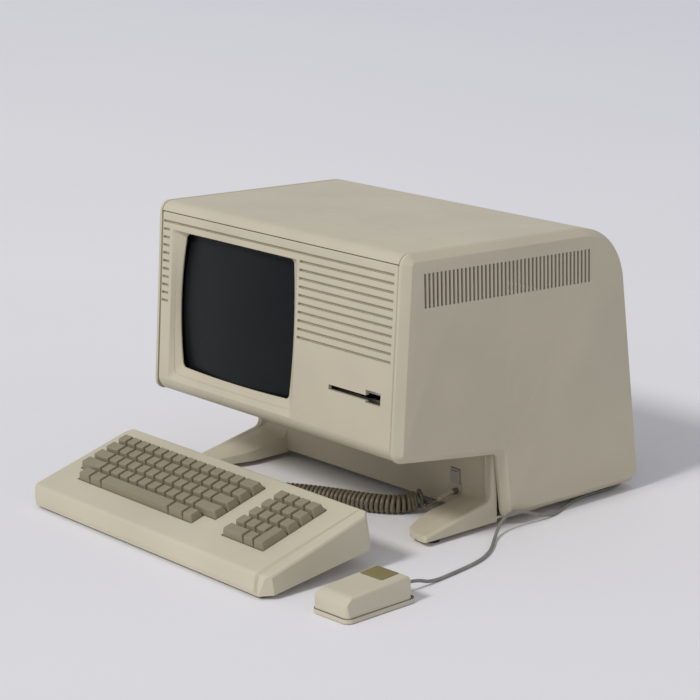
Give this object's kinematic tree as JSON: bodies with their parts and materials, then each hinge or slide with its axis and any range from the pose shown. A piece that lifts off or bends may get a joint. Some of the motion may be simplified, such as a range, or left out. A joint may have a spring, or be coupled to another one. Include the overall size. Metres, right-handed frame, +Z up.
{
  "type": "desktop computer with keyboard and mouse",
  "caption": "Beige desktop computer with a built-in screen at the left and a disk slot at the right, on two splayed feet, with its detached keyboard on a curly cord and a wired mouse.",
  "frame": {"origin": "on the desk, in the middle of the footprint of computer, keyboard and mouse together", "axes": "+Z up, -Y towards the user (screen and keyboard face -Y), +X to the right as the user sees it"},
  "size_m": [0.5895, 0.6856, 0.3494],
  "materials": {
    "cabinet_beige": "fine moulded texture, warm beige",
    "keyboard_beige": "fine moulded texture, light beige",
    "mouse_beige": "fine moulded texture",
    "keycap_taupe": "matt taupe brown",
    "mouse_button_olive": "satin olive brown",
    "tube_glass": "dark grey glass of an unlit screen",
    "control_grey": "light grey",
    "black_plastic": "matt black",
    "bare_steel": "zinc-plated sheet",
    "board_green": "green resist",
    "foot_rubber": "dark rubber",
    "cord_brown": "satin brown jacket",
    "cord_grey": "satin grey jacket"
  },
  "bodies": {
    "computer": {"base_housing": "cabinet_beige", "side_panel_left": "cabinet_beige", "side_panel_right": "cabinet_beige", "top_cover": "cabinet_beige", "rear_cover": "cabinet_beige", "front_bezel": "cabinet_beige", "rubber_feet": "foot_rubber", "cover_screws": "bare_steel", "picture_tube": "tube_glass", "tube_frame": "bare_steel", "deflection_yoke": "black_plastic", "chassis_frame": "bare_steel", "video_board": "board_green", "power_supply": "bare_steel", "power_inlet": "black_plastic", "backplane_board": "board_green", "circuit_boards": "board_green", "disk_drive_frame": "bare_steel", "drive_bracket": "bare_steel", "speaker": "black_plastic", "rear_ports": "bare_steel", "keyboard_jack": "black_plastic", "keyboard_plug": "cord_brown", "keyboard_cord_leads": "cord_brown", "keyboard_cord_coil": "cord_brown", "mouse_cord": "cord_grey", "mouse_cord_coil": "cord_grey", "mouse_plug": "cord_grey"},
    "power_button": {"power_button": "control_grey"},
    "reset_button": {"reset_button": "control_grey"},
    "drive_spindle": {"drive_spindle": "bare_steel"},
    "head_carriage": {"head_carriage": "black_plastic"},
    "keyboard": {"keyboard_top_case": "keyboard_beige", "keyboard_bottom_case": "keyboard_beige", "keyboard_feet": "foot_rubber", "keyboard_circuit_board": "board_green", "key_switches": "black_plastic", "keyboard_gland": "cord_brown"},
    "mouse": {"mouse_top_shell": "mouse_beige", "mouse_base_plate": "mouse_beige", "mouse_circuit_board": "board_green", "mouse_glides": "black_plastic", "mouse_cord_relief": "cord_grey"},
    "mouse_button": {"mouse_button": "mouse_button_olive"},
    "mouse_ball": {"mouse_ball": "foot_rubber"},
    "mouse_roller_x": {"mouse_roller_x": "black_plastic"},
    "mouse_roller_y": {"mouse_roller_y": "black_plastic"},
    "keys_number_row": {"keys_number_row": "keycap_taupe"},
    "key_backspace": {"key_backspace": "keycap_taupe"},
    "key_tab": {"key_tab": "keycap_taupe"},
    "keys_top_letter_row": {"keys_top_letter_row": "keycap_taupe"},
    "key_caps_lock": {"key_caps_lock": "keycap_taupe"},
    "keys_home_letter_row": {"keys_home_letter_row": "keycap_taupe"},
    "key_return": {"key_return": "keycap_taupe"},
    "keys_shift": {"keys_shift": "keycap_taupe"},
    "keys_low_letter_row": {"keys_low_letter_row": "keycap_taupe"},
    "keys_bottom_row": {"keys_bottom_row": "keycap_taupe"},
    "key_space_bar": {"key_space_bar": "keycap_taupe"},
    "keypad_keys": {"keypad_keys": "keycap_taupe"}
  },
  "joints": [
    {"name": "keyboard_move", "type": "slide", "parent": "computer", "child": "keyboard", "axis": [0, -1, 0], "range_m": [0, 0.12]},
    {"name": "mouse_move", "type": "slide", "parent": "computer", "child": "mouse", "axis": [0, -1, 0], "range_m": [0, 0.06]},
    {"name": "power_button_press", "type": "slide", "parent": "computer", "child": "power_button", "axis": [0, 1, 0], "range_m": [0, 0.0025], "stiffness_N_per_m": 400, "springref_m": -0.001},
    {"name": "reset_button_press", "type": "slide", "parent": "computer", "child": "reset_button", "axis": [0, -1, 0], "range_m": [0, 0.002], "stiffness_N_per_m": 400, "springref_m": -0.001},
    {"name": "drive_spindle_turn", "type": "hinge", "parent": "computer", "child": "drive_spindle", "pos_m": [0.101, -0.03, 0.17974], "axis": [0, 0, 1], "continuous": true},
    {"name": "head_carriage_travel", "type": "slide", "parent": "computer", "child": "head_carriage", "axis": [0, 1, 0], "range_m": [-0.015, 0.03]},
    {"name": "mouse_button_press", "type": "slide", "parent": "mouse", "child": "mouse_button", "axis": [0, 0, -1], "range_m": [0, 0.0012], "stiffness_N_per_m": 500, "springref_m": -0.0008},
    {"name": "mouse_ball_roll", "type": "hinge", "parent": "mouse", "child": "mouse_ball", "pos_m": [0.26822, -0.23685, 0.0113], "axis": [0.9994, 0.0349, 0], "continuous": true},
    {"name": "mouse_roller_y_turn", "type": "hinge", "parent": "mouse", "child": "mouse_roller_y", "pos_m": [0.26776, -0.22381, 0.0113], "axis": [0.9994, 0.0349, 0], "continuous": true},
    {"name": "mouse_roller_x_turn", "type": "hinge", "parent": "mouse", "child": "mouse_roller_x", "pos_m": [0.25517, -0.2373, 0.0113], "axis": [-0.0349, 0.9994, 0], "continuous": true},
    {"name": "keys_number_row_press", "type": "slide", "parent": "keyboard", "child": "keys_number_row", "axis": [0, 0.2745, -0.9616], "range_m": [0, 0.0038], "stiffness_N_per_m": 1950, "springref_m": -0.0025},
    {"name": "key_backspace_press", "type": "slide", "parent": "keyboard", "child": "key_backspace", "axis": [0, 0.2745, -0.9616], "range_m": [0, 0.0038], "stiffness_N_per_m": 260, "springref_m": -0.0025},
    {"name": "key_tab_press", "type": "slide", "parent": "keyboard", "child": "key_tab", "axis": [0, 0.2745, -0.9616], "range_m": [0, 0.0038], "stiffness_N_per_m": 260, "springref_m": -0.0025},
    {"name": "keys_top_letter_row_press", "type": "slide", "parent": "keyboard", "child": "keys_top_letter_row", "axis": [0, 0.2745, -0.9616], "range_m": [0, 0.0038], "stiffness_N_per_m": 1950, "springref_m": -0.0025},
    {"name": "key_caps_lock_press", "type": "slide", "parent": "keyboard", "child": "key_caps_lock", "axis": [0, 0.2745, -0.9616], "range_m": [0, 0.0038], "stiffness_N_per_m": 260, "springref_m": -0.0025},
    {"name": "keys_home_letter_row_press", "type": "slide", "parent": "keyboard", "child": "keys_home_letter_row", "axis": [0, 0.2745, -0.9616], "range_m": [0, 0.0038], "stiffness_N_per_m": 1650, "springref_m": -0.0025},
    {"name": "key_return_press", "type": "slide", "parent": "keyboard", "child": "key_return", "axis": [0, 0.2745, -0.9616], "range_m": [0, 0.0038], "stiffness_N_per_m": 260, "springref_m": -0.0025},
    {"name": "keys_shift_press", "type": "slide", "parent": "keyboard", "child": "keys_shift", "axis": [0, 0.2745, -0.9616], "range_m": [0, 0.0038], "stiffness_N_per_m": 300, "springref_m": -0.0025},
    {"name": "keys_low_letter_row_press", "type": "slide", "parent": "keyboard", "child": "keys_low_letter_row", "axis": [0, 0.2745, -0.9616], "range_m": [0, 0.0038], "stiffness_N_per_m": 1500, "springref_m": -0.0025},
    {"name": "keys_bottom_row_press", "type": "slide", "parent": "keyboard", "child": "keys_bottom_row", "axis": [0, 0.2745, -0.9616], "range_m": [0, 0.0038], "stiffness_N_per_m": 600, "springref_m": -0.0025},
    {"name": "key_space_bar_press", "type": "slide", "parent": "keyboard", "child": "key_space_bar", "axis": [0, 0.2745, -0.9616], "range_m": [0, 0.0038], "stiffness_N_per_m": 260, "springref_m": -0.0025},
    {"name": "keypad_keys_press", "type": "slide", "parent": "keyboard", "child": "keypad_keys", "axis": [0, 0.2745, -0.9616], "range_m": [0, 0.0038], "stiffness_N_per_m": 2700, "springref_m": -0.0025}
  ],
  "couplings": [
    {"joint": "mouse_roller_y_turn", "follows": "mouse_ball_roll", "ratio": -5.5}
  ]
}
